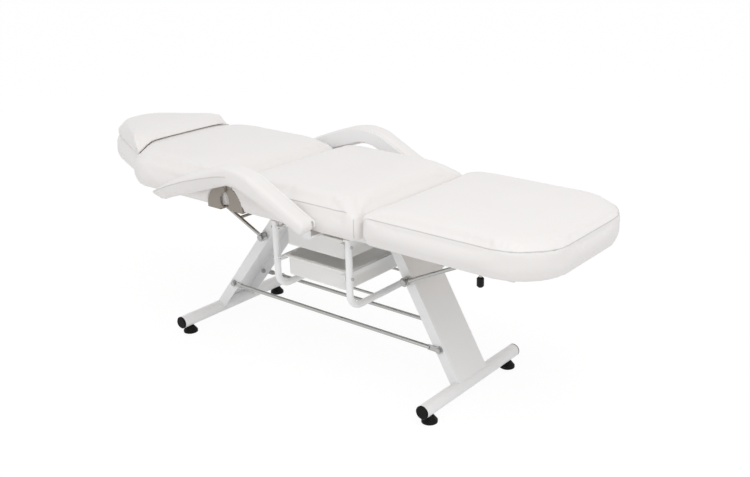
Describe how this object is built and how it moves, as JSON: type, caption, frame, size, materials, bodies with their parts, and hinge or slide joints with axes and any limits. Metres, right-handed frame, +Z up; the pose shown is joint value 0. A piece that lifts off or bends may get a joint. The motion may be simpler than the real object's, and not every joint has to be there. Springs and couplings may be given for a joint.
{
  "type": "folding massage chair",
  "caption": "Padded couch with folding backrest and leg-rest, head pillow, armrests and slide-out trays on splayed steel legs with levelling feet.",
  "frame": {"origin": "middle of the couch's box, on the floor", "axes": "+X towards the foot end, +Y towards the side away from the release lever, +Z up"},
  "size_m": [1.7599, 0.6198, 0.62],
  "materials": {
    "white_vinyl": "satin",
    "white_powder_coat": "satin",
    "chrome": "polished",
    "zinc_steel": "satin",
    "taupe_steel": "satin",
    "black_rubber": "matte",
    "black_plastic": "satin",
    "plywood": "matte",
    "ivory_plastic": "satin"
  },
  "bodies": {
    "base": {"head_leg": "white_powder_coat", "foot_leg": "white_powder_coat", "head_floor_tube": "white_powder_coat", "foot_floor_tube": "white_powder_coat", "floor_tube_end_caps": "black_rubber", "near_tie_rod": "chrome", "far_tie_rod": "chrome", "tie_rod_bolts": "zinc_steel", "backrest_stay_pins": "zinc_steel", "legrest_stay_pins": "zinc_steel", "seat_frame": "white_powder_coat", "leg_mount_bolts": "zinc_steel", "seat_board": "plywood", "seat_cushion": "white_vinyl", "tray_rack_head_tube": "white_powder_coat", "tray_rack_foot_tube": "white_powder_coat", "rack_cross_rods": "chrome", "upper_head_runner": "white_powder_coat", "upper_foot_runner": "white_powder_coat", "lower_head_runner": "white_powder_coat", "lower_foot_runner": "white_powder_coat", "runner_screws": "zinc_steel", "legrest_hinge_bolts": "zinc_steel", "near_seat_hinge_plate": "taupe_steel", "far_seat_hinge_plate": "taupe_steel", "near_hinge_bolt": "zinc_steel", "far_hinge_bolt": "zinc_steel", "near_armrest_bracket": "white_powder_coat", "far_armrest_bracket": "white_powder_coat", "near_armrest_pin": "zinc_steel", "far_armrest_pin": "zinc_steel"},
    "backrest": {"backrest_frame": "white_powder_coat", "backrest_board": "plywood", "backrest_cushion": "white_vinyl", "near_backrest_hinge_plate": "taupe_steel", "far_backrest_hinge_plate": "taupe_steel", "near_backrest_rack": "zinc_steel", "far_backrest_rack": "zinc_steel"},
    "backrest_stay": {"backrest_stay": "chrome"},
    "legrest": {"legrest_frame": "white_powder_coat", "legrest_board": "plywood", "legrest_cushion": "white_vinyl", "near_legrest_rack": "zinc_steel", "far_legrest_rack": "zinc_steel"},
    "legrest_stay": {"legrest_stay": "chrome"},
    "release_lever": {"release_shaft": "chrome", "release_grip": "black_plastic"},
    "head_pillow": {"head_pillow": "white_vinyl"},
    "near_armrest": {"near_armrest_pad": "white_vinyl", "near_armrest_strap": "white_powder_coat"},
    "far_armrest": {"far_armrest_pad": "white_vinyl", "far_armrest_strap": "white_powder_coat"},
    "upper_tray": {"upper_tray": "ivory_plastic"},
    "lower_tray": {"lower_tray": "ivory_plastic"},
    "levelling_foot_head_near": {"levelling_foot_head_near": "black_rubber"},
    "levelling_foot_head_far": {"levelling_foot_head_far": "black_rubber"},
    "levelling_foot_foot_near": {"levelling_foot_foot_near": "black_rubber"},
    "levelling_foot_foot_far": {"levelling_foot_foot_far": "black_rubber"}
  },
  "joints": [
    {"name": "backrest_hinge", "type": "hinge", "parent": "base", "child": "backrest", "pos_m": [-0.142, 0, 0.531], "axis": [0, 1, 0], "range_deg": [0, 70]},
    {"name": "backrest_stay_hinge", "type": "hinge", "parent": "base", "child": "backrest_stay", "pos_m": [-0.1764, 0, 0.333], "axis": [0, 1, 0], "range_deg": [0, 48.5]},
    {"name": "legrest_hinge", "type": "hinge", "parent": "base", "child": "legrest", "pos_m": [0.348, 0, 0.464], "axis": [0, 1, 0], "range_deg": [0, 45]},
    {"name": "legrest_stay_hinge", "type": "hinge", "parent": "base", "child": "legrest_stay", "pos_m": [0.36628, 0, 0.32], "axis": [0, 1, 0], "range_deg": [0, 58]},
    {"name": "release_lever_hinge", "type": "hinge", "parent": "legrest", "child": "release_lever", "pos_m": [0.688, 0, 0.464], "axis": [0, 1, 0], "range_deg": [0, 20], "stiffness_Nm_per_rad": 0.6, "springref_deg": -11.46},
    {"name": "head_pillow_lift", "type": "slide", "parent": "backrest", "child": "head_pillow", "axis": [0, 0, 1], "range_m": [0, 0.1]},
    {"name": "upper_tray_slide", "type": "slide", "parent": "base", "child": "upper_tray", "axis": [0, -1, 0], "range_m": [0, 0.22]},
    {"name": "lower_tray_slide", "type": "slide", "parent": "base", "child": "lower_tray", "axis": [0, -1, 0], "range_m": [0, 0.22]},
    {"name": "near_armrest_hinge", "type": "hinge", "parent": "base", "child": "near_armrest", "pos_m": [0.182, 0, 0.497], "axis": [0, 1, 0], "range_deg": [0, 30]},
    {"name": "far_armrest_hinge", "type": "hinge", "parent": "base", "child": "far_armrest", "pos_m": [0.182, 0, 0.497], "axis": [0, 1, 0], "range_deg": [0, 30]},
    {"name": "levelling_foot_head_near_turn", "type": "hinge", "parent": "base", "child": "levelling_foot_head_near", "pos_m": [-0.407, -0.192, 0], "axis": [0, 0, 1], "continuous": true},
    {"name": "levelling_foot_head_far_turn", "type": "hinge", "parent": "base", "child": "levelling_foot_head_far", "pos_m": [-0.407, 0.192, 0], "axis": [0, 0, 1], "continuous": true},
    {"name": "levelling_foot_foot_near_turn", "type": "hinge", "parent": "base", "child": "levelling_foot_foot_near", "pos_m": [0.53, -0.192, 0], "axis": [0, 0, 1], "continuous": true},
    {"name": "levelling_foot_foot_far_turn", "type": "hinge", "parent": "base", "child": "levelling_foot_foot_far", "pos_m": [0.53, 0.192, 0], "axis": [0, 0, 1], "continuous": true}
  ],
  "couplings": [
    {"joint": "backrest_stay_hinge", "follows": "backrest_hinge", "ratio": 0.685},
    {"joint": "legrest_stay_hinge", "follows": "legrest_hinge", "ratio": 1.26}
  ]
}
